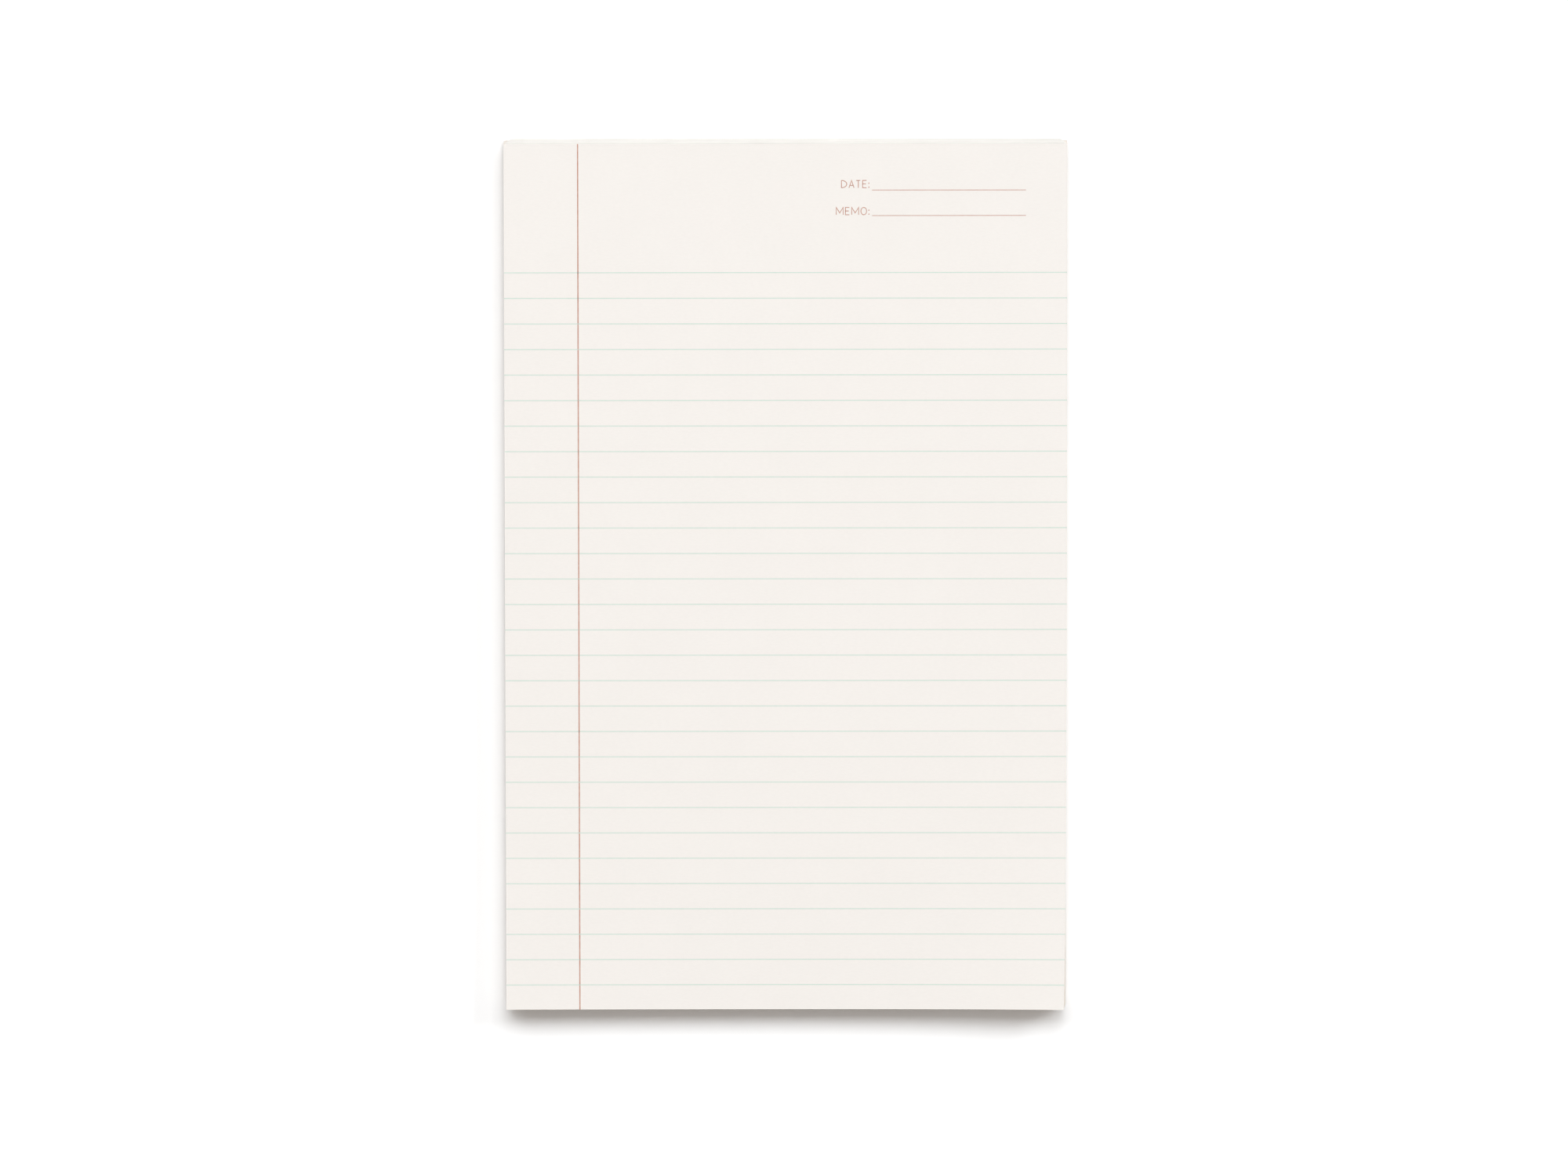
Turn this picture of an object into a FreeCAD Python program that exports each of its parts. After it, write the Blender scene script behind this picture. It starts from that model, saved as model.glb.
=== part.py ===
import FreeCAD, Part
import os
import Sketcher

# A glue-topped writing pad lying flat: a block of ruled sheets on a backing board, held along one
# short side by a film of padding compound. Lengths are millimetres.
#
# +Y points to the glued side, +X to the right of someone who writes on the pad, and +Z up.
# The origin is under the middle of the pad, on the surface that it lies on.

# Driving sizes: alias, value, and what it measures
SIZES = [
    ("sheet_width", 139.7, "trimmed width of a sheet, five and a half inches"),
    ("sheet_length", 215.9, "trimmed length of a sheet, eight and a half inches"),
    ("sheet_count", 50, "sheets in the pad"),
    ("sheet_thickness", 0.12, "thickness of one sheet"),
    ("edge_groove", 0.08, "depth of the groove between the edges of two sheets"),
    ("stack_rake", 0.6, "how far the top sheet has slid back from the glued side"),
    ("right_corner_lift", 2.4, "height that the free right corner has curled up"),
    ("right_corner_draw", 0.7, "sideways draw of the same corner as it curls"),
    ("left_corner_lift", 0.7, "height that the free left corner has curled up"),
    ("board_thickness", 0.8, "thickness of the backing board"),
    ("glue_foot", 0.5, "thickness of the film at the foot of the spine"),
    ("glue_head", 0.25, "thickness of the film at the top sheet"),
    ("glue_round", 0.12, "radius on the film's upper edge"),
    ("glue_foot_inset", 1.4, "distance from the sheets' side to the film's end, at the foot"),
    ("glue_head_inset", 0.2, "distance from the sheets' side to the film's end, at the top"),
]

# Each piece is drawn from the foot of the spine, and this puts the middle of the pad on the origin
SPINE_Y = "(Sizes.sheet_length + Sizes.stack_rake - Sizes.glue_foot) / 2"

# Height of the block of sheets, and of the whole pad at the spine
BLOCK_HEIGHT = "Sizes.sheet_count * Sizes.sheet_thickness"
SPINE_HEIGHT = "Sizes.board_thickness + " + BLOCK_HEIGHT

# Degrees of the patch that a sheet follows: a higher one keeps the curl nearer the corner
ACROSS = 6
ALONG = 8


def make_sizes(doc):
    """Fill the sheet with one row for each driving size."""
    sheet = doc.addObject("Spreadsheet::Sheet", "Sizes")
    for row, (alias, value, meaning) in enumerate(SIZES, start=1):
        sheet.set("A%d" % row, alias)
        sheet.set("B%d" % row, str(value))
        sheet.set("C%d" % row, meaning)
        sheet.setAlias("B%d" % row, alias)
    doc.recompute()
    return sheet


def new_body(doc, name):
    """A body that stands at the foot of the spine."""
    body = doc.addObject("PartDesign::Body", name)
    body.Label = name
    body.setExpression("Placement.Base.y", SPINE_Y)
    return body


def new_sketch(body, name, role):
    """An empty sketch on the plane of the body's origin that has this role."""
    sketch = body.newObject("Sketcher::SketchObject", name)
    planes = [item for item in body.Origin.OriginFeatures if item.Role == role]
    sketch.AttachmentSupport = (planes[0], "")
    sketch.MapMode = "FlatFace"
    return sketch


def draw_loop(sketch, corners):
    """Closed loop of lines through the corners, each joined to the next."""
    first = sketch.GeometryCount
    count = len(corners)
    for index in range(count):
        start = FreeCAD.Vector(*corners[index], 0)
        end = FreeCAD.Vector(*corners[(index + 1) % count], 0)
        sketch.addGeometry(Part.LineSegment(start, end), False)
    for index in range(count):
        following = first + (index + 1) % count
        joined = Sketcher.Constraint("Coincident", first + index, 2, following, 1)
        sketch.addConstraint(joined)


def drive(sketch, name, constraint, expression):
    """Add a named dimension to the sketch and tie it to the sizes."""
    number = sketch.addConstraint(constraint)
    sketch.renameConstraint(number, name)
    sketch.setExpression("Constraints." + name, expression)


def make_board(doc, sizes):
    """Backing board: a flat sheet of board, trimmed with the sheets."""
    body = new_body(doc, "backing_board")
    half = sizes.sheet_width / 2
    length = sizes.sheet_length

    outline = new_sketch(body, "board_outline", "XY_Plane")
    draw_loop(outline, [(-half, 0), (-half, -length), (half, -length), (half, 0)])
    outline.addConstraint(Sketcher.Constraint("Vertical", 0))
    outline.addConstraint(Sketcher.Constraint("Horizontal", 1))
    outline.addConstraint(Sketcher.Constraint("Vertical", 2))
    outline.addConstraint(Sketcher.Constraint("PointOnObject", 0, 1, -1))
    outline.addConstraint(Sketcher.Constraint("Symmetric", 0, 1, 3, 1, -2))
    width = Sketcher.Constraint("DistanceX", 0, 1, 3, 1, 2 * half)
    drive(outline, "width", width, "Sizes.sheet_width")
    run = Sketcher.Constraint("DistanceY", 0, 2, 0, 1, length)
    drive(outline, "length", run, "Sizes.sheet_length")

    board = body.newObject("PartDesign::Pad", "board")
    board.Profile = outline
    board.setExpression("Length", "Sizes.board_thickness")
    return body


def sheet_net(sizes, level, inset):
    """Control net of the patch that the stack follows at a level from 0, the board, to 1, the top.

    The curl of the two free corners fans out evenly through the stack, so each point's shift is
    that of the top sheet times the level. The inset takes in the three free sides.
    """
    half = sizes.sheet_width / 2 - inset
    length = sizes.sheet_length - inset
    height = sizes.board_thickness + level * sizes.sheet_count * sizes.sheet_thickness
    rows = []
    for i in range(ACROSS + 1):
        x = -half + 2 * half * i / ACROSS
        rows.append([
            FreeCAD.Vector(x, -level * sizes.stack_rake - length * j / ALONG, height)
            for j in range(ALONG + 1)
        ])
    rows[0][-1] += level * FreeCAD.Vector(0, 0, sizes.left_corner_lift)
    rows[-1][-1] += level * FreeCAD.Vector(-sizes.right_corner_draw, 0, sizes.right_corner_lift)
    return rows


def bezier_edge(poles):
    curve = Part.BezierCurve()
    curve.setPoles(poles)
    return curve.toShape()


def sheet_ring(sizes, level, inset):
    """Closed outline of the stack at one level: spine, right side, free end and left side."""
    net = sheet_net(sizes, level, inset)
    spine = Part.makeLine(net[0][0], net[-1][0])
    right = bezier_edge(net[-1])
    free_end = bezier_edge([row[-1] for row in reversed(net)])
    left = bezier_edge(list(reversed(net[0])))
    return Part.Wire([spine, right, free_end, left])


def make_block(doc, sizes):
    """Block of sheets, one solid: its sides are grooved at every sheet and fan out with the curl."""
    count = int(sizes.sheet_count)

    # Up the stack: the bottom sheet's lower edge, then a groove and a sheet's middle in turn
    rings = [sheet_ring(sizes, 0, 0)]
    for sheet in range(1, count):
        rings.append(sheet_ring(sizes, (sheet - 0.5) / count, 0))
        rings.append(sheet_ring(sizes, sheet / count, sizes.edge_groove))
    rings.append(sheet_ring(sizes, (count - 0.5) / count, 0))
    rings.append(sheet_ring(sizes, 1, 0))

    solid_shape = False
    ruled = True
    sides = Part.makeLoft(rings, solid_shape, ruled)

    top = Part.BezierSurface()
    top.increase(ACROSS, ALONG)
    for i, row in enumerate(sheet_net(sizes, 1, 0), start=1):
        for j, pole in enumerate(row, start=1):
            top.setPole(i, j, pole)

    shell = Part.Shell(sides.Faces + [Part.Face(rings[0]), top.toShape()])
    shell.sewShape()
    solid = Part.makeSolid(shell)
    if solid.Volume < 0:
        solid.reverse()

    block = doc.addObject("Part::Feature", "page_block")
    block.Label = "page_block"
    block.Shape = solid
    block.setExpression("Placement.Base.y", SPINE_Y)
    return block


def make_glue(doc, sizes):
    """Film of padding compound on the spine: thicker at its foot, and shorter there too."""
    body = new_body(doc, "binding_glue")
    half = sizes.sheet_width / 2
    board = sizes.board_thickness
    height = board + sizes.sheet_count * sizes.sheet_thickness
    rake = sizes.stack_rake
    foot = sizes.glue_foot
    head = sizes.glue_head

    # Section across the spine: up the board's edge, back along the raked sheets, and down outside
    section = new_sketch(body, "film_section", "YZ_Plane")
    draw_loop(section, [(0, 0), (0, board), (-rake, height), (head - rake, height), (foot, 0)])
    section.addConstraint(Sketcher.Constraint("Coincident", 0, 1, -1, 1))
    section.addConstraint(Sketcher.Constraint("Vertical", 0))
    section.addConstraint(Sketcher.Constraint("Horizontal", 2))
    section.addConstraint(Sketcher.Constraint("Horizontal", 4))
    rise = Sketcher.Constraint("DistanceY", 0, 1, 0, 2, board)
    drive(section, "board", rise, "Sizes.board_thickness")
    slope = Sketcher.Constraint("DistanceX", 1, 2, 1, 1, rake)
    drive(section, "rake", slope, "Sizes.stack_rake")
    rise = Sketcher.Constraint("DistanceY", 1, 1, 1, 2, height - board)
    drive(section, "block", rise, BLOCK_HEIGHT)
    across = Sketcher.Constraint("DistanceX", 2, 1, 2, 2, head)
    drive(section, "head", across, "Sizes.glue_head")
    across = Sketcher.Constraint("DistanceX", 0, 1, 3, 2, foot)
    drive(section, "foot", across, "Sizes.glue_foot")

    film = body.newObject("PartDesign::Pad", "film")
    film.Profile = section
    film.SideType = "Symmetric"
    film.setExpression("Length", "Sizes.sheet_width")
    doc.recompute()

    # Seen from the glued side the film is a trapezium: each end slopes in towards the foot, and
    # the film is cut back to it by what lies between that slope and the side of the sheets
    ends = new_sketch(body, "film_ends", "XZ_Plane")
    origin = (-1, 1)
    for side, name in ((1, "right"), (-1, "left")):
        first = ends.GeometryCount
        foot_end = half - sizes.glue_foot_inset
        head_end = half - sizes.glue_head_inset
        corners = [(foot_end, 0), (head_end, height), (half, height), (half, 0)]
        draw_loop(ends, [(side * x, y) for x, y in corners])
        ends.addConstraint(Sketcher.Constraint("Horizontal", first + 1))
        ends.addConstraint(Sketcher.Constraint("Vertical", first + 2))
        ends.addConstraint(Sketcher.Constraint("PointOnObject", first, 1, -1))
        ends.addConstraint(Sketcher.Constraint("PointOnObject", first + 2, 2, -1))
        rise = Sketcher.Constraint("DistanceY", *origin, first, 2, height)
        drive(ends, name + "_height", rise, SPINE_HEIGHT)
        for corner, point, reach, inset in (
            ("side", (first + 2, 2), half, ""),
            ("foot", (first, 1), foot_end, " - Sizes.glue_foot_inset"),
            ("head", (first, 2), head_end, " - Sizes.glue_head_inset"),
        ):
            span = (*origin, *point) if side > 0 else (*point, *origin)
            distance = Sketcher.Constraint("DistanceX", *span, reach)
            drive(ends, name + "_" + corner, distance, "Sizes.sheet_width / 2" + inset)

    trim = body.newObject("PartDesign::Pocket", "film_trim")
    trim.Profile = ends
    trim.Type = "ThroughAll"
    trim.SideType = "Symmetric"
    doc.recompute()
    if trim.Shape.Volume >= film.Shape.Volume:
        raise RuntimeError("the film's ends are not cut")

    # The upper outside edge is rounded along its whole length
    edge_y = sizes.glue_head - sizes.stack_rake
    upper = [
        "Edge%d" % number
        for number, edge in enumerate(trim.Shape.Edges, start=1)
        if all(abs(v.Y - edge_y) < 1e-4 and abs(v.Z - height) < 1e-4 for v in edge.Vertexes)
    ]
    rounding = body.newObject("PartDesign::Fillet", "film_rounding")
    rounding.Base = (trim, upper)
    rounding.setExpression("Radius", "Sizes.glue_round")
    return body


def check(doc, pieces):
    """Stop if a feature failed or a piece has no sound single solid."""
    for item in doc.Objects:
        if "Invalid" in item.State or "Error" in item.State:
            raise RuntimeError("%s failed: %s" % (item.Name, item.State))
    for piece in pieces:
        shape = piece.Shape
        if shape.isNull() or not shape.isValid() or len(shape.Solids) != 1:
            raise RuntimeError("%s has no sound solid" % piece.Label)


doc = FreeCAD.newDocument("writing_pad")
sizes = make_sizes(doc)
pieces = [make_board(doc, sizes), make_block(doc, sizes), make_glue(doc, sizes)]
doc.recompute()
check(doc, pieces)

os.makedirs("parts", exist_ok=True)
for piece in pieces:
    piece.Shape.exportStep("parts/%s.step" % piece.Label)
    box = piece.Shape.BoundBox
    print("%-14s %10.1f mm3  X %8.3f %8.3f  Y %8.3f %8.3f  Z %6.3f %6.3f" % (
        piece.Label, piece.Shape.Volume, box.XMin, box.XMax, box.YMin, box.YMax, box.ZMin, box.ZMax))
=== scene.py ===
import math
import random
import bpy
from mathutils import Matrix, Vector, noise


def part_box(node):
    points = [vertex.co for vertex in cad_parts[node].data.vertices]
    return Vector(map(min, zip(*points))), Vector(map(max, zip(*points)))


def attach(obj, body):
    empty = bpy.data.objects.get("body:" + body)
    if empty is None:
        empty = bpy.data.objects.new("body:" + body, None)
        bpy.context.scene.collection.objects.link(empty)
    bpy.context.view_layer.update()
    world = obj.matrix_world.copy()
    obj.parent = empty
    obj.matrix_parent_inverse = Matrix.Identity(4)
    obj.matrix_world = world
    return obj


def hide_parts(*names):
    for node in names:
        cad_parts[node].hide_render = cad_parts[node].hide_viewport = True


# Dresses the writing pad: a stack of separate sheet edges under a printed page, a chipboard back
# and a film of dried padding compound. Metres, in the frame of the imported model: +Y to the glued
# side, +X to the writer's right, +Z up.

MM = 0.001

# Sheets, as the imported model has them
SHEET_WIDTH = 139.7 * MM
SHEET_LENGTH = 215.9 * MM
SHEET_COUNT = 50
SHEET_THICKNESS = 0.12 * MM
EDGE_GROOVE = 0.08 * MM
STACK_RAKE = 0.6 * MM
RIGHT_CORNER_LIFT = 2.4 * MM
RIGHT_CORNER_DRAW = 0.7 * MM
LEFT_CORNER_LIFT = 0.7 * MM
# The curl grows with these powers of the way across and down
CURL_ACROSS = 6
CURL_ALONG = 8

# Mesh of the sheets, and the outline of one sheet's cut edge as shares of its thickness and groove
ACROSS_STEPS = 70
DOWN_STEPS = 110
EDGE_ROUNDING = 0.25
MOST_PROUD = 0.5
EDGE_SEED = 7

# Film of padding compound on the head of the stack
FILM_FOOT = 0.5 * MM
FILM_HEAD = 0.25 * MM
FILM_THINNEST = 0.02 * MM
FILM_HEAD_ROUND = 0.15 * MM
FILM_END_ROUND = 0.5 * MM
FILM_FOOT_INSET = 1.4 * MM
FILM_HEAD_INSET = 0.2 * MM
FILM_ACROSS_STEPS = 420
FILM_UP_STEPS = 34

# Brushing of the film: length and width of its marks, and their depth as shares of its thickness
BRUSH_STROKE = (30.0 * MM, 0.55 * MM)
BRUSH_SWELL = (12.0 * MM, 3.0 * MM)
STROKE_DEPTH = 0.08
SWELL_DEPTH = 0.10
FILM_EVEN_SHARE = 0.86
# Its ragged ends: height of the coarse and the fine steps, their depth, and how much the fine count
RAGGED_COARSE = 1.2 * MM
RAGGED_FINE = 0.4 * MM
RAGGED_DEPTH = 0.2 * MM
RAGGED_FINE_SHARE = 0.6

# Print, measured from the head and the left side of the sheet
INK_HEIGHT = 0.02 * MM
RULE_COUNT = 29
RULE_PITCH = 6.35 * MM
FIRST_RULE = 31.9 * MM
RULE_WEIGHT = 0.23 * MM
MARGIN_LEFT = 18.35 * MM
MARGIN_WEIGHT = 0.30 * MM
HEADER_WEIGHT = 0.16 * MM
LETTER_WEIGHT = 0.20 * MM
DOT_WEIGHT = 0.27 * MM
LETTER_HEIGHT = 1.82 * MM
HEADER_LEFT = 91.3 * MM
HEADER_RIGHT = 129.4 * MM
# Each field: word, depth of its letters' foot, depth of its line
HEADER_FIELDS = [
    ("DATE:", 10.89 * MM, 11.46 * MM),
    ("MEMO:", 17.58 * MM, 17.78 * MM),
]
HEADER_GAP = 0.80 * MM

# Strokes of the letters, as points in letter heights; an arc is its centre, radii and angles
LETTERS = {
    "D": (0.71, [[(0.0, 0.0), (0.0, 1.0)], ("arc", 0.0, 0.5, 0.71, 0.5, -90, 90)]),
    "A": (0.68, [[(0.0, 0.0), (0.34, 1.0), (0.68, 0.0)], [(0.12, 0.33), (0.56, 0.33)]]),
    "T": (0.55, [[(0.0, 1.0), (0.55, 1.0)], [(0.275, 1.0), (0.275, 0.0)]]),
    "E": (0.53, [[(0.53, 1.0), (0.0, 1.0), (0.0, 0.0), (0.53, 0.0)], [(0.0, 0.52), (0.45, 0.52)]]),
    "M": (0.94, [[(0.0, 0.0), (0.0, 1.0), (0.47, 0.25), (0.94, 1.0), (0.94, 0.0)]]),
    "O": (0.77, [("arc", 0.385, 0.5, 0.385, 0.5, 0, 360)]),
    ":": (0.0, [[(0.0, 0.0), (0.0, 0.16)], [(0.0, 0.54), (0.0, 0.70)]]),
}
LETTER_SPACE = 0.315
ARC_STEPS = 18
RING_STEPS = 28
FIELD_LINE_STEPS = 20
# Longest corner of a stroke: its width divided by this
SHARPEST_CORNER = 0.35

# Colours, as linear red, green and blue
PAPER = (0.919, 0.880, 0.837)
PAPER_EDGE = (0.86, 0.805, 0.74)
BOARD = (0.36, 0.305, 0.245)
GLUE = (0.77, 0.745, 0.70)
MINT = (0.65, 0.765, 0.685)
TERRACOTTA = (0.57, 0.30, 0.225)
# Share of the bare paper's colour in the ink where it lies thinnest
INK_THINNEST = 0.18

# Sockets of a Mix node that mixes colours: its two colours, and the mixed one
MIX_FIRST = 6
MIX_SECOND = 7
MIX_RESULT = 2

# Camera: a long lens high above the page, leaning a little towards its head. It aims at a point
# beside the middle of the top sheet.
AIM_FROM_MIDDLE = Vector((-0.48, -2.45, 0.0)) * MM
CAMERA_DISTANCE = 2443.4 * MM
LEAN_TO_HEAD = 5.0
CAMERA_ROLL = -0.058
FOCAL_LENGTH = 225.65

# Light: shares of what a white sheet gets, and the lamps' reach as slopes from straight above,
# first to the right and then to the head
SKY_SHARE = 0.215
SKY_COLOUR = (1.0, 0.90, 0.81)
LAMP_COLOUR = (0.975, 1.0, 1.025)
LAMPS = {
    "key_lamp": (0.485, (-1.10, 0.55), (0.36, 1.46)),
    "strip_lamp": (0.145, (-0.04, 0.20), (-0.40, 1.45)),
    "side_lamp": (0.195, (1.05, 2.15), (0.53, 1.55)),
}
LAMP_HEIGHT = 7.0
FLOOR_TO_CAMERA = 1.19
FLOOR_TO_OBJECT = 0.7
FLOOR_REACH = 4.0

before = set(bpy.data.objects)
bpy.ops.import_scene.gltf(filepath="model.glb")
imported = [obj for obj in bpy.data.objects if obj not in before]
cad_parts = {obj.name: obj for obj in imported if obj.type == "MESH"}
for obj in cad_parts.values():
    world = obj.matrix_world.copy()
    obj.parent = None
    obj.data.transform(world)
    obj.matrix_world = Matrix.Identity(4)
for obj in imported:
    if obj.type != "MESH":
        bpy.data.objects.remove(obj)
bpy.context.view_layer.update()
page_low, page_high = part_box("page_block")
spine_foot = page_high.y


def page_point(across, down, level=1.0, inset=0.0):
    """Point of the stack, where across and down run from 0 to 1 from the sheet's left head corner.

    The level is 0 on the board and 1 on the top sheet, and the inset takes in the free sides.
    """
    right_curl = level * across ** CURL_ACROSS * down ** CURL_ALONG
    left_curl = level * (1 - across) ** CURL_ACROSS * down ** CURL_ALONG
    half = SHEET_WIDTH / 2 - inset
    x = -half + 2 * half * across - right_curl * RIGHT_CORNER_DRAW
    y = spine_foot - level * STACK_RAKE - down * (SHEET_LENGTH - inset)
    z = page_low.z + level * SHEET_COUNT * SHEET_THICKNESS
    z += right_curl * RIGHT_CORNER_LIFT + left_curl * LEFT_CORNER_LIFT
    return Vector((x, y, z))


def on_page(left, head):
    """Point just above the top sheet, at these distances from its left side and its head."""
    point = page_point(left / SHEET_WIDTH, head / SHEET_LENGTH)
    point.z += INK_HEIGHT
    return point


def new_object(name, vertices, faces, material, smooth=False):
    """Mesh object that rides with the pad."""
    mesh = bpy.data.meshes.new(name)
    mesh.from_pydata(vertices, [], faces)
    mesh.materials.append(material)
    mesh.validate()
    if smooth:
        mesh.shade_smooth()
    piece = bpy.data.objects.new(name, mesh)
    bpy.context.scene.collection.objects.link(piece)
    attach(piece, "root")
    return piece


# Materials

class Nodes:
    """Short names for building one material's nodes."""

    def __init__(self, name):
        self.material = bpy.data.materials.new(name)
        self.material.use_nodes = True
        self.tree = self.material.node_tree
        self.shader = self.tree.nodes["Principled BSDF"]

    def add(self, kind, **settings):
        node = self.tree.nodes.new(kind)
        for key, value in settings.items():
            setattr(node, key, value)
        return node

    def link(self, output, target):
        self.tree.links.new(output, target)

    def place(self, scale):
        """Object coordinates stretched by a scale for each axis."""
        coordinates = self.add("ShaderNodeTexCoord")
        mapping = self.add("ShaderNodeMapping")
        mapping.inputs["Scale"].default_value = scale
        self.link(coordinates.outputs["Object"], mapping.inputs["Vector"])
        return mapping.outputs["Vector"]

    def noise(self, scale, detail=3.0):
        """Soft noise with this many waves to the metre along each axis."""
        node = self.add("ShaderNodeTexNoise")
        node.inputs["Scale"].default_value = 1.0
        node.inputs["Detail"].default_value = detail
        self.link(self.place(scale), node.inputs["Vector"])
        return node.outputs["Fac"]

    def ramp(self, value, stops):
        """Colours at stops along a value, each given as its place and its colour."""
        node = self.add("ShaderNodeValToRGB")
        elements = node.color_ramp.elements
        for index, (position, colour) in enumerate(stops):
            element = elements[index] if index < 2 else elements.new(position)
            element.position = position
            element.color = (*colour, 1.0)
        self.link(value, node.inputs["Fac"])
        return node.outputs["Color"]

    def multiply(self, first, second):
        """Two colours multiplied."""
        node = self.add("ShaderNodeMix", data_type="RGBA", blend_type="MULTIPLY")
        node.inputs["Factor"].default_value = 1.0
        self.link(first, node.inputs[MIX_FIRST])
        self.link(second, node.inputs[MIX_SECOND])
        return node.outputs[MIX_RESULT]

    def bump(self, heights, strength, distance):
        """Chain of bumps, one for each height, into the shader's normal."""
        normal = None
        for height in heights:
            node = self.add("ShaderNodeBump")
            node.inputs["Strength"].default_value = strength
            node.inputs["Distance"].default_value = distance
            self.link(height, node.inputs["Height"])
            if normal:
                self.link(normal, node.inputs["Normal"])
            normal = node.outputs["Normal"]
        self.link(normal, self.shader.inputs["Normal"])


def shaded(colour, factor):
    """The same colour, lighter or darker."""
    return tuple(channel * factor for channel in colour)


def paper_material():
    """Ivory writing paper: soft cloudy formation, fine fibres and a slight tooth."""
    nodes = Nodes("writing_paper")
    cloud = nodes.noise((90, 90, 90), detail=4)
    fibre = nodes.noise((900, 2600, 900), detail=3)
    base = nodes.ramp(cloud, [(0.35, shaded(PAPER, 0.994)), (0.65, shaded(PAPER, 1.003))])
    grain = nodes.ramp(fibre, [(0.3, (0.982, 0.982, 0.982)), (0.7, (1.0, 1.0, 1.0))])
    nodes.link(nodes.multiply(base, grain), nodes.shader.inputs["Base Color"])
    nodes.shader.inputs["Roughness"].default_value = 0.85
    nodes.shader.inputs["Specular IOR Level"].default_value = 0.2
    nodes.bump([nodes.noise((3500, 3500, 3500)), nodes.noise((260, 260, 260))], 0.12, 0.04 * MM)
    return nodes.material


def paper_edge_material():
    """Cut edges of the sheets: each sheet has its own tone, with the fibres torn along it."""
    nodes = Nodes("paper_edges")
    tone = nodes.add("ShaderNodeAttribute", attribute_name="sheet_tone")
    base = nodes.ramp(tone.outputs["Fac"], [
        (0.0, shaded(PAPER_EDGE, 0.80)), (0.35, PAPER_EDGE), (1.0, shaded(PAPER_EDGE, 1.14))])
    streak = nodes.noise((700, 700, 9000), detail=4)
    grain = nodes.ramp(streak, [(0.3, (0.88, 0.87, 0.86)), (0.7, (1.0, 1.0, 1.0))])
    nodes.link(nodes.multiply(base, grain), nodes.shader.inputs["Base Color"])
    nodes.shader.inputs["Roughness"].default_value = 0.95
    nodes.shader.inputs["Specular IOR Level"].default_value = 0.1
    nodes.bump([streak], 0.4, 0.03 * MM)
    return nodes.material


def board_material():
    """Grey-brown chipboard: recycled pulp with dark and pale flecks."""
    nodes = Nodes("chipboard")
    cloud = nodes.noise((60, 60, 60), detail=5)
    base = nodes.ramp(cloud, [(0.3, shaded(BOARD, 0.90)), (0.7, shaded(BOARD, 1.10))])
    dark = nodes.noise((1300, 1300, 1300), detail=2)
    flecks = nodes.ramp(dark, [(0.30, (0.62, 0.60, 0.58)), (0.42, (1.0, 1.0, 1.0))])
    pale = nodes.noise((520, 1500, 1500), detail=2)
    fibres = nodes.ramp(pale, [(0.60, (1.0, 1.0, 1.0)), (0.72, (1.30, 1.28, 1.24))])
    colour = nodes.multiply(base, flecks)
    colour = nodes.multiply(colour, fibres)
    nodes.link(colour, nodes.shader.inputs["Base Color"])
    nodes.shader.inputs["Roughness"].default_value = 0.92
    nodes.shader.inputs["Specular IOR Level"].default_value = 0.15
    nodes.bump([dark, nodes.noise((300, 300, 300))], 0.25, 0.06 * MM)
    return nodes.material


def glue_material():
    """Dried padding compound: an off-white film, brushed along the spine."""
    nodes = Nodes("padding_compound")
    brushed = nodes.noise((60, 900, 900), detail=4)
    base = nodes.ramp(brushed, [(0.3, shaded(GLUE, 0.93)), (0.7, shaded(GLUE, 1.03))])
    mottled = nodes.noise((220, 220, 500), detail=3)
    soft = nodes.ramp(mottled, [(0.3, (0.96, 0.96, 0.95)), (0.7, (1.0, 1.0, 1.0))])
    nodes.link(nodes.multiply(base, soft), nodes.shader.inputs["Base Color"])
    nodes.shader.inputs["Roughness"].default_value = 0.42
    nodes.shader.inputs["Specular IOR Level"].default_value = 0.4
    nodes.bump([brushed, mottled], 0.3, 0.08 * MM)
    return nodes.material


def ink_material(name, colour):
    """Offset ink on paper: its strength wavers with the paper's fibres."""
    nodes = Nodes(name)
    waver = nodes.noise((1100, 1100, 1100), detail=3)
    pale = tuple(ink + INK_THINNEST * (bare - ink) for ink, bare in zip(colour, PAPER))
    base = nodes.ramp(waver, [(0.35, colour), (0.75, pale)])
    nodes.link(base, nodes.shader.inputs["Base Color"])
    nodes.shader.inputs["Roughness"].default_value = 0.8
    nodes.shader.inputs["Specular IOR Level"].default_value = 0.2
    nodes.bump([waver], 0.1, 0.02 * MM)
    return nodes.material


# Pieces

def outline_steps():
    """Places on the sheet's outline, right round from the left head corner, as (across, down)."""
    places = [(i / ACROSS_STEPS, 0.0) for i in range(ACROSS_STEPS)]
    places += [(1.0, j / DOWN_STEPS) for j in range(DOWN_STEPS)]
    places += [(1 - i / ACROSS_STEPS, 1.0) for i in range(ACROSS_STEPS)]
    places += [(0.0, 1 - j / DOWN_STEPS) for j in range(DOWN_STEPS)]
    return places


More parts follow.
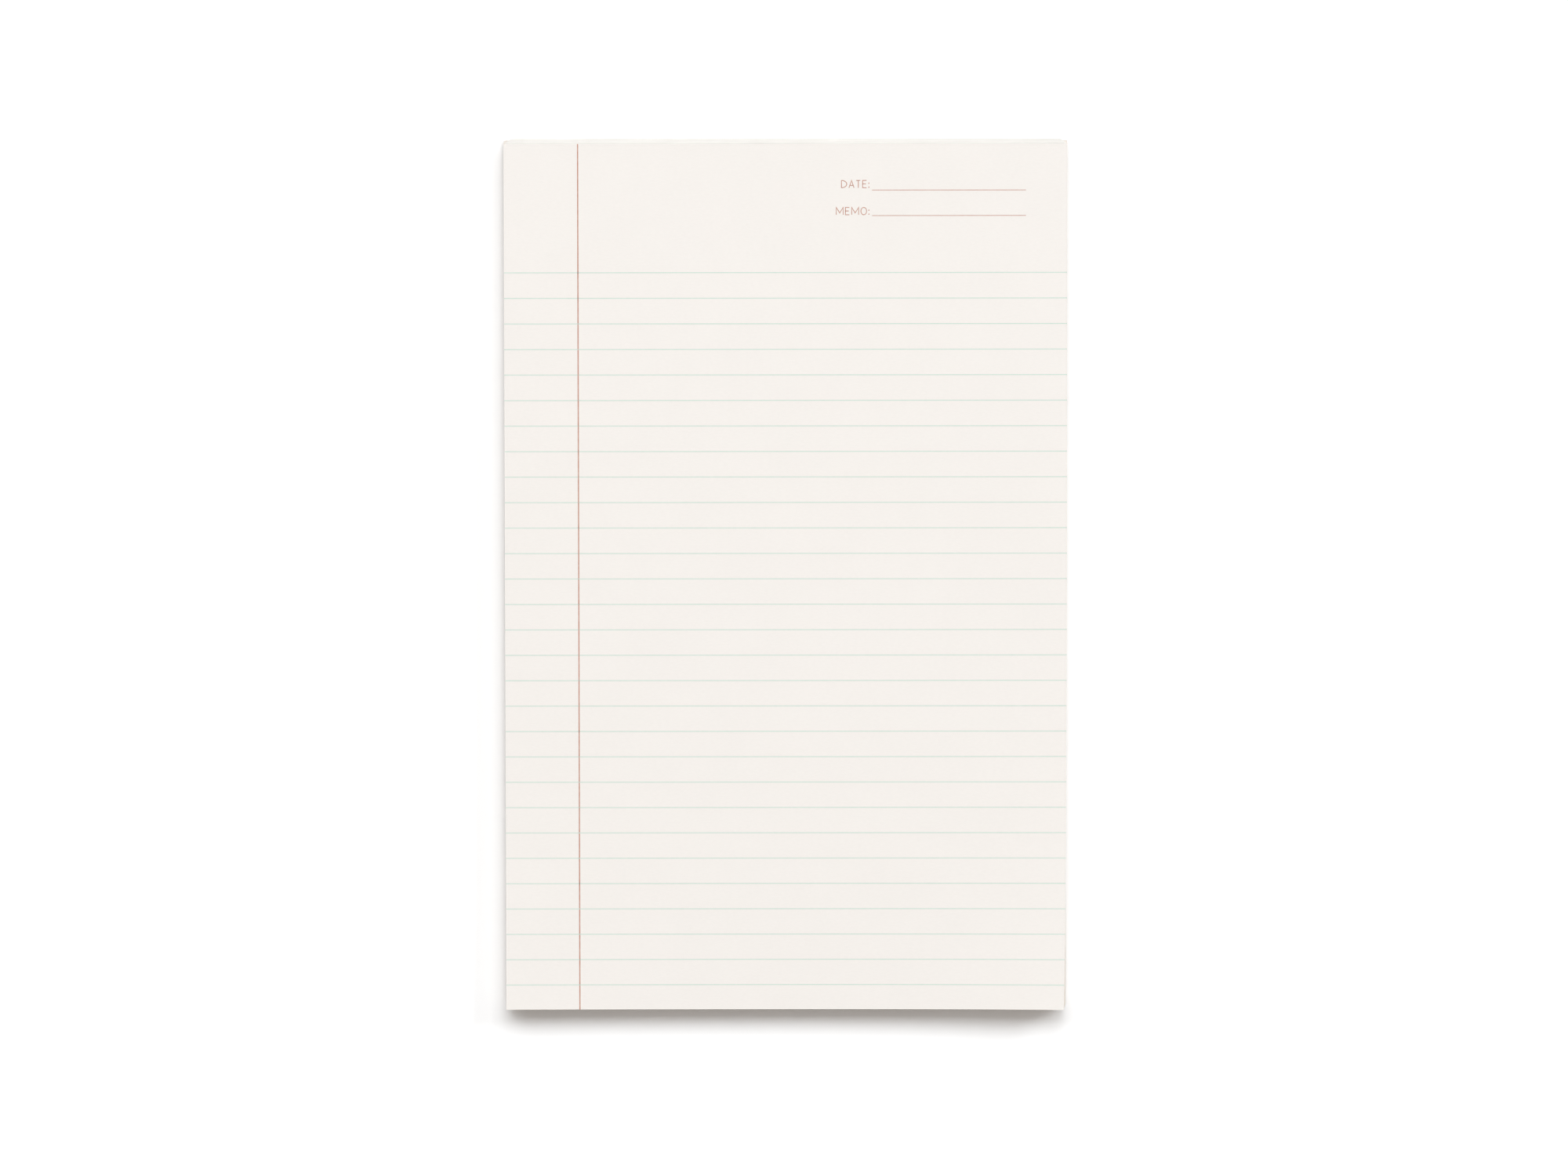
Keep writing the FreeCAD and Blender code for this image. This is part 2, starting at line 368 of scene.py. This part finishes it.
def sheet_edges():
    """Cut edges of all the sheets, a groove between each pair, fanning out where the pad curls."""
    chance = random.Random(EDGE_SEED)
    places = outline_steps()
    count = len(places)
    vertices = []
    faces = []
    tones = []

    def add_ring(level, inset, tone):
        vertices.extend(page_point(a, d, level, inset if d > 0 else 0.0) for a, d in places)
        tones.extend([tone] * count)

    for sheet in range(SHEET_COUNT):
        tone = chance.random()
        proud = chance.uniform(0, MOST_PROUD) * EDGE_GROOVE if 0 < sheet < SHEET_COUNT - 1 else 0.0
        bottom = EDGE_GROOVE if sheet > 0 else 0.0
        top = EDGE_GROOVE if sheet < SHEET_COUNT - 1 else 0.0
        outline = ((0.0, bottom), (EDGE_ROUNDING, proud), (1 - EDGE_ROUNDING, proud), (1.0, top))
        for part, inset in outline:
            add_ring((sheet + part) / SHEET_COUNT, inset, tone)
    rings = len(tones) // count
    for ring in range(rings - 1):
        for index in range(count):
            following = (index + 1) % count
            low = ring * count
            high = low + count
            faces.append((low + index, low + following, high + following, high + index))
    return vertices, faces, tones


def make_sheets(paper, edge):
    """The whole block: printed page on top, sheet edges round it, and the face on the board."""
    vertices, faces, tones = sheet_edges()
    edge_faces = len(faces)

    row = ACROSS_STEPS + 1
    for level in (1.0, 0.0):
        first = len(vertices)
        for j in range(DOWN_STEPS + 1):
            for i in range(row):
                vertices.append(page_point(i / ACROSS_STEPS, j / DOWN_STEPS, level))
                tones.append(1.0)
        for j in range(DOWN_STEPS):
            for i in range(ACROSS_STEPS):
                corner = first + j * row + i
                below = corner + row
                quad = (corner, below, below + 1, corner + 1)
                faces.append(quad if level == 1.0 else tuple(reversed(quad)))

    piece = new_object("sheets", vertices, faces, paper)
    piece.data.materials.append(edge)
    for polygon in piece.data.polygons[:edge_faces]:
        polygon.material_index = 1
    for polygon in piece.data.polygons[edge_faces:]:
        polygon.use_smooth = True
    tone = piece.data.attributes.new("sheet_tone", "FLOAT", "POINT")
    tone.data.foreach_set("value", tones)
    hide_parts("page_block")


def uneven(x, z, size, layer):
    """Smooth noise over the film in marks of this length and width, its own for each layer."""
    return noise.noise(Vector((x / size[0], z / size[1], layer)))


def film_thickness(x, z, half, high):
    """How far the film stands off the spine: thinner to the top, brushed along, thin at its ends."""
    thickness = FILM_FOOT + (FILM_HEAD - FILM_FOOT) * z / high
    strokes = uneven(x, z, BRUSH_STROKE, 1.7)
    swells = uneven(x, z, BRUSH_SWELL, 8.3)
    thickness *= FILM_EVEN_SHARE + STROKE_DEPTH * strokes + SWELL_DEPTH * swells
    for gap, reach in ((half - abs(x), FILM_END_ROUND), (high - z, FILM_HEAD_ROUND)):
        near = 1 - min(1.0, gap / reach)
        thickness *= math.sqrt(1 - near * near)
    return max(FILM_THINNEST, thickness)


def make_film(material):
    """Film of padding compound on the spine, with brush marks and ragged ends."""
    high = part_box("binding_glue")[1].z
    outer = []
    inner = []
    for j in range(FILM_UP_STEPS + 1):
        z = high * math.sin(math.pi / 2 * j / FILM_UP_STEPS)
        level = min(1.0, max(0.0, (z - page_low.z) / (SHEET_COUNT * SHEET_THICKNESS)))
        spine = spine_foot - level * STACK_RAKE
        inset = FILM_FOOT_INSET + (FILM_HEAD_INSET - FILM_FOOT_INSET) * z / high
        for i in range(FILM_ACROSS_STEPS + 1):
            side = 2 * i / FILM_ACROSS_STEPS - 1
            ragged = uneven(side, z, (1, RAGGED_COARSE), 4.1)
            ragged += RAGGED_FINE_SHARE * uneven(side, z, (1, RAGGED_FINE), 5.9)
            half = SHEET_WIDTH / 2 - inset - RAGGED_DEPTH * abs(ragged)
            x = half * math.sin(math.pi / 2 * side)
            outer.append(Vector((x, spine + film_thickness(x, z, half, high), z)))
            inner.append(Vector((x, spine, z)))
    row = FILM_ACROSS_STEPS + 1
    back = len(outer)
    faces = []
    for j in range(FILM_UP_STEPS):
        for i in range(FILM_ACROSS_STEPS):
            a = j * row + i
            faces.append((a + 1, a, a + row, a + row + 1))
            faces.append((back + a, back + a + 1, back + a + row + 1, back + a + row))
    rim = list(range(row))
    rim += [j * row + FILM_ACROSS_STEPS for j in range(1, FILM_UP_STEPS + 1)]
    rim += [FILM_UP_STEPS * row + i for i in range(FILM_ACROSS_STEPS - 1, -1, -1)]
    rim += [j * row for j in range(FILM_UP_STEPS - 1, 0, -1)]
    for a, b in zip(rim, rim[1:] + rim[:1]):
        faces.append((a, b, back + b, back + a))
    piece = new_object("glue_film", outer + inner, faces, material, smooth=True)
    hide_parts("binding_glue")


def ribbon(points, weight, closed=False):
    """Flat stroke of an even width on the page. Points are (left, head) distances, in order."""
    places = [Vector(point) for point in points]
    count = len(places)
    vertices = []
    for index, place in enumerate(places):
        before = places[index - 1] if index or closed else None
        after = places[(index + 1) % count] if index < count - 1 or closed else None
        back = (place - before).normalized() if before else None
        ahead = (after - place).normalized() if after else None
        along = ((back or ahead) + (ahead or back)).normalized()
        normal = Vector((-along.y, along.x))
        straight = back or ahead
        mitre = 1 / max(SHARPEST_CORNER, along.dot(straight))
        for side in (-1, 1):
            edge = place + normal * side * mitre * weight / 2
            vertices.append(on_page(edge.x, edge.y))
    spans = count if closed else count - 1
    faces = []
    for index in range(spans):
        following = (index + 1) % count
        faces.append((2 * index, 2 * following, 2 * following + 1, 2 * index + 1))
    return vertices, faces


def upward(vertices, faces):
    """The same faces, all facing up out of the page."""
    turned = []
    for face in faces:
        a, b, c = (vertices[number] for number in face[:3])
        turned.append(face if (b - a).cross(c - a).z > 0 else tuple(reversed(face)))
    return turned


def print_strokes(name, strokes, material):
    """One printed piece from many strokes, each given as its points and width."""
    vertices = []
    faces = []
    for points, weight, closed in strokes:
        more, quads = ribbon(points, weight, closed)
        first = len(vertices)
        faces.extend(tuple(first + number for number in quad) for quad in upward(more, quads))
        vertices.extend(more)
    new_object(name, vertices, faces, material)


def straight(start, end, steps):
    """Points along a straight line, close enough to follow the curl of the page."""
    a, b = Vector(start), Vector(end)
    return [a.lerp(b, step / steps) for step in range(steps + 1)]


def make_ruling(material):
    """Rules across the whole sheet."""
    lines = []
    for rule in range(RULE_COUNT):
        depth = FIRST_RULE + rule * RULE_PITCH
        line = straight((0, depth), (SHEET_WIDTH, depth), ACROSS_STEPS)
        lines.append((line, RULE_WEIGHT, False))
    print_strokes("ruling", lines, material)


def make_margin(material):
    """Margin line down the whole sheet."""
    line = straight((MARGIN_LEFT, 0), (MARGIN_LEFT, SHEET_LENGTH), DOWN_STEPS)
    print_strokes("margin_line", [(line, MARGIN_WEIGHT, False)], material)


def letter_strokes(letter, left, foot):
    """Strokes of one letter, placed with its lower left corner at these distances."""
    strokes = []
    weight = DOT_WEIGHT if letter == ":" else LETTER_WEIGHT
    for stroke in LETTERS[letter][1]:
        closed = False
        if stroke[0] == "arc":
            _, middle_x, middle_y, radius_x, radius_y, start, end = stroke
            closed = end - start == 360
            steps = RING_STEPS if closed else ARC_STEPS
            turns = [math.radians(start + (end - start) * i / steps) for i in range(steps + 1)]
            if closed:
                turns.pop()
            points = [(middle_x + radius_x * math.cos(t), middle_y + radius_y * math.sin(t))
                      for t in turns]
        else:
            points = stroke
        placed = [(left + x * LETTER_HEIGHT, foot - y * LETTER_HEIGHT) for x, y in points]
        strokes.append((placed, weight, closed))
    return strokes


def make_header(material):
    """Two plain fields for whoever writes on the pad: a word and a line to fill in."""
    strokes = []
    for word, foot, depth in HEADER_FIELDS:
        widths = [LETTERS[letter][0] for letter in word]
        length = (sum(widths) + LETTER_SPACE * (len(word) - 1)) * LETTER_HEIGHT
        left = HEADER_LEFT - HEADER_GAP - length
        for letter, width in zip(word, widths):
            strokes += letter_strokes(letter, left, foot)
            left += (width + LETTER_SPACE) * LETTER_HEIGHT
        line = straight((HEADER_LEFT, depth), (HEADER_RIGHT, depth), FIELD_LINE_STEPS)
        strokes.append((line, HEADER_WEIGHT, False))
    print_strokes("header_fields", strokes, material)


def dress_node(name, material):
    """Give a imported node, whose shape is right as it is, its real material."""
    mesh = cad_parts[name].data
    mesh.materials.clear()
    mesh.materials.append(material)


# Stage

def shows_background(tree):
    """1 for the rays that show the background: the camera's own, and those off gloss or through glass."""
    path = tree.nodes.new("ShaderNodeLightPath")
    seen = path.outputs["Is Camera Ray"]
    for kind in ("Is Glossy Ray", "Is Transmission Ray"):
        either = tree.nodes.new("ShaderNodeMath")
        either.operation = "MAXIMUM"
        tree.links.new(seen, either.inputs[0])
        tree.links.new(path.outputs[kind], either.inputs[1])
        seen = either.outputs["Value"]
    return seen


def make_floor():
    """White table top: brighter to the camera than to what stands on it."""
    mesh = bpy.data.meshes.new("floor")
    signs = ((-1, -1), (1, -1), (1, 1), (-1, 1))
    mesh.from_pydata([(x * FLOOR_REACH, y * FLOOR_REACH, 0) for x, y in signs], [], [(0, 1, 2, 3)])
    floor = bpy.data.objects.new("floor", mesh)
    bpy.context.scene.collection.objects.link(floor)
    nodes = Nodes("table_top")
    tone = nodes.add("ShaderNodeMix", data_type="RGBA")
    for socket, level in ((MIX_FIRST, FLOOR_TO_OBJECT), (MIX_SECOND, FLOOR_TO_CAMERA)):
        tone.inputs[socket].default_value = (level, level, level, 1.0)
    nodes.link(shows_background(nodes.tree), tone.inputs["Factor"])
    diffuse = nodes.add("ShaderNodeBsdfDiffuse")
    nodes.link(tone.outputs[MIX_RESULT], diffuse.inputs["Color"])
    output = nodes.tree.nodes["Material Output"]
    nodes.link(diffuse.outputs["BSDF"], output.inputs["Surface"])
    nodes.tree.nodes.remove(nodes.shader)
    mesh.materials.append(nodes.material)


def corner_share(across, along):
    """Share of a flat sheet's light that comes from the slopes between none and these two."""
    wide = math.hypot(1, across)
    deep = math.hypot(1, along)
    share = across / wide * math.atan(along / wide) + along / deep * math.atan(across / deep)
    return share / math.tau


def make_lamp(name, share, across, along):
    """Soft flat lamp overhead that gives the page this share of its light."""
    left, right = across
    near, far = along
    covered = (corner_share(right, far) - corner_share(left, far)
               - corner_share(right, near) + corner_share(left, near))
    lamp = bpy.data.lights.new(name, "AREA")
    lamp.shape = "RECTANGLE"
    lamp.size = (right - left) * LAMP_HEIGHT
    lamp.size_y = (far - near) * LAMP_HEIGHT
    lamp.energy = share / covered * math.pi * lamp.size * lamp.size_y
    lamp.color = LAMP_COLOUR
    holder = bpy.data.objects.new(name, lamp)
    holder.location = Vector(((left + right) / 2, (near + far) / 2, 1.0)) * LAMP_HEIGHT
    holder.visible_camera = False
    bpy.context.scene.collection.objects.link(holder)


def make_sky():
    """Even light from all round, and plain white behind everything."""
    world = bpy.data.worlds.new("sky")
    world.use_nodes = True
    tree = world.node_tree
    seen = shows_background(tree)
    strength = tree.nodes.new("ShaderNodeMapRange")
    strength.inputs["To Min"].default_value = SKY_SHARE
    strength.inputs["To Max"].default_value = 1.0
    tree.links.new(seen, strength.inputs["Value"])
    background = tree.nodes["Background"]
    tint = tree.nodes.new("ShaderNodeMix")
    tint.data_type = "RGBA"
    tint.inputs[MIX_FIRST].default_value = (*SKY_COLOUR, 1.0)
    tint.inputs[MIX_SECOND].default_value = (1.0, 1.0, 1.0, 1.0)
    tree.links.new(seen, tint.inputs["Factor"])
    tree.links.new(tint.outputs[MIX_RESULT], background.inputs["Color"])
    tree.links.new(strength.outputs["Result"], background.inputs["Strength"])
    bpy.context.scene.world = world


def make_camera():
    """Camera at the photograph's viewing angle, further off and with a longer lens."""
    lens = bpy.data.cameras.new("camera")
    lens.lens = FOCAL_LENGTH
    lens.sensor_width = 36.0
    lens.clip_start = 0.05
    lens.clip_end = 50.0
    roll = Matrix.Rotation(math.radians(CAMERA_ROLL), 4, "Z")
    turn = roll @ Matrix.Rotation(math.radians(-LEAN_TO_HEAD), 4, "X")
    camera = bpy.data.objects.new("camera", lens)
    back = turn.col[2].to_3d()
    aim = page_point(0.5, 0.5) + AIM_FROM_MIDDLE
    camera.matrix_world = Matrix.Translation(aim + back * CAMERA_DISTANCE) @ turn
    bpy.context.scene.collection.objects.link(camera)
    bpy.context.scene.camera = camera


paper = paper_material()
edges = paper_edge_material()
mint = ink_material("mint_ink", MINT)
terracotta = ink_material("terracotta_ink", TERRACOTTA)

make_sheets(paper, edges)
make_ruling(mint)
make_margin(terracotta)
make_header(terracotta)
dress_node("backing_board", board_material())
make_film(glue_material())

make_floor()
make_sky()
for name, (share, across, along) in LAMPS.items():
    make_lamp(name, share, across, along)
make_camera()
bpy.context.scene.view_settings.view_transform = "Standard"
